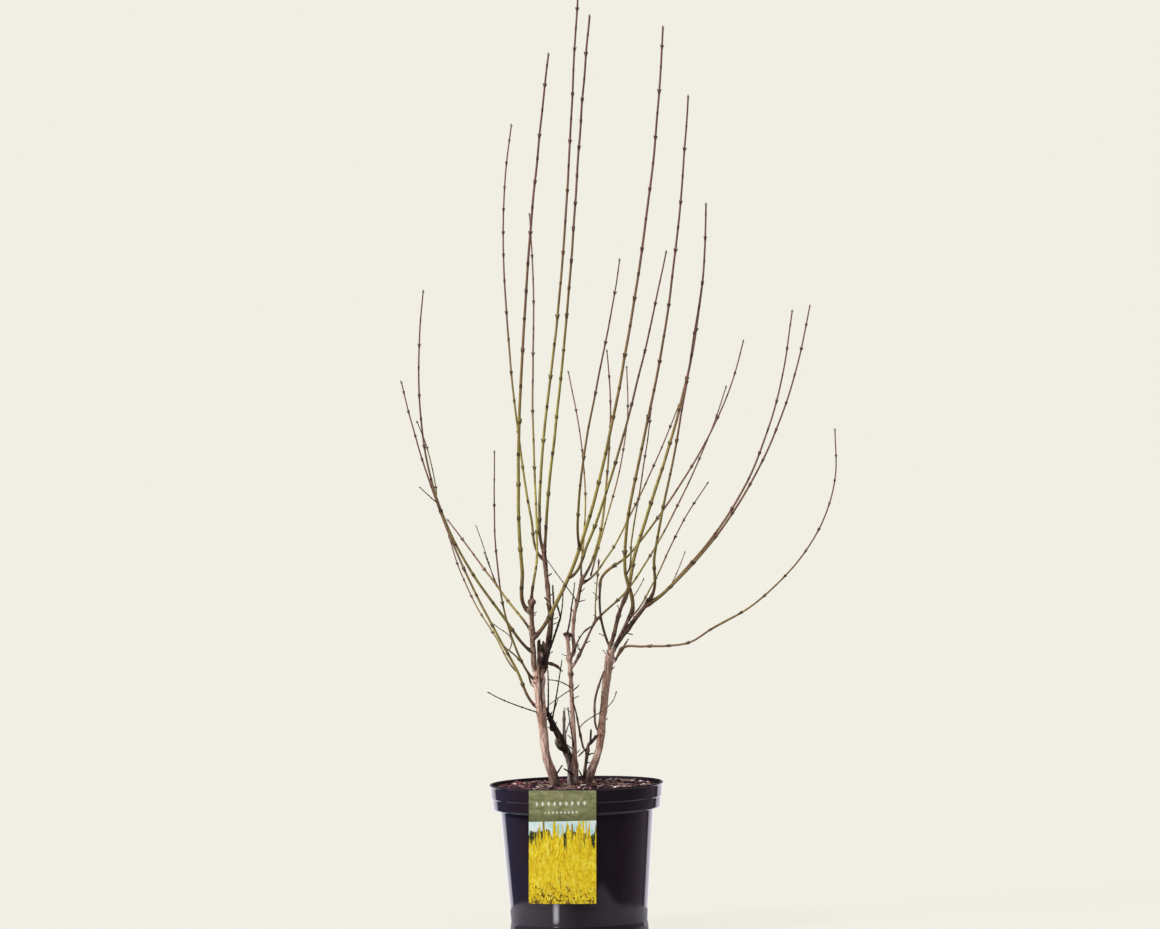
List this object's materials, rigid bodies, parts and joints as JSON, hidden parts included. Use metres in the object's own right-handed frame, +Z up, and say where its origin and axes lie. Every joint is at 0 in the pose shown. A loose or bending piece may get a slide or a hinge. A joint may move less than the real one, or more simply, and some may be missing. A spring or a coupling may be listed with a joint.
{
  "type": "potted forsythia shrub in winter",
  "caption": "Bare winter forsythia shrub of long upright whips on branching stems, standing in a round black nursery pot of bark compost with a blank-design picture card.",
  "frame": {"origin": "middle of the pot's flat underside, where the plant stands", "axes": "+Z up the stems, +X to the right of the face with the card, +Y away from it"},
  "size_m": [0.6893, 0.4617, 1.5071],
  "materials": {
    "pot_plastic": "black injection-moulded nursery pot, semi-gloss, with a faint violet cast",
    "compost": "moist dark red-brown bark and peat compost with paler chips",
    "card": "glossy printed plastic picture card, olive header over yellow blossom",
    "old_bark": "pinkish tan smooth bark with lenticels, fissures and grey patches",
    "dead_wood": "weathered near-black dead wood and cut stubs",
    "bough_bark": "brown to olive-brown young bark",
    "whip_bark": "olive to purple-brown smooth shoots with opposite buds"
  },
  "bodies": {
    "root": {"compost": "compost", "ear_limb": "bough_bark", "fork_bough_1": "bough_bark", "fork_bough_2": "bough_bark", "fork_bough_3": "bough_bark", "fork_bough_4": "bough_bark", "fork_inner": "bough_bark", "fork_outer": "bough_bark", "front_stub": "dead_wood", "inner_bough": "bough_bark", "inner_snag": "dead_wood", "inner_stub": "dead_wood", "left_bough": "bough_bark", "left_stem": "old_bark", "low_whip": "whip_bark", "low_whip_foot": "whip_bark", "low_whip_rise": "whip_bark", "middle_bough": "bough_bark", "middle_stem": "old_bark", "old_stem": "dead_wood", "old_stub": "dead_wood", "picture_card": "card", "pot": "pot_plastic", "right_stem": "old_bark", "riser": "whip_bark", "sprout": "bough_bark", "sprout_left": "bough_bark", "sprout_right": "bough_bark", "tall_bough": "bough_bark", "whip_l1": "whip_bark", "whip_l10": "whip_bark", "whip_l2": "whip_bark", "whip_l3": "whip_bark", "whip_l4": "whip_bark", "whip_l5": "whip_bark", "whip_l6": "whip_bark", "whip_l7": "whip_bark", "whip_l8": "whip_bark", "whip_l9": "whip_bark", "whip_m1": "whip_bark", "whip_m2": "whip_bark", "whip_m3": "whip_bark", "whip_m4": "whip_bark", "whip_m5": "whip_bark", "whip_m6": "whip_bark", "whip_m7": "whip_bark", "whip_r1": "whip_bark", "whip_r2": "whip_bark", "whip_r3": "whip_bark", "whip_r4": "whip_bark", "whip_r5": "whip_bark", "whip_r6": "whip_bark", "whip_r7": "whip_bark", "whip_r8": "whip_bark", "whip_r9": "whip_bark", "whip_t1": "whip_bark", "whip_t2": "whip_bark"}
  },
  "joints": []
}
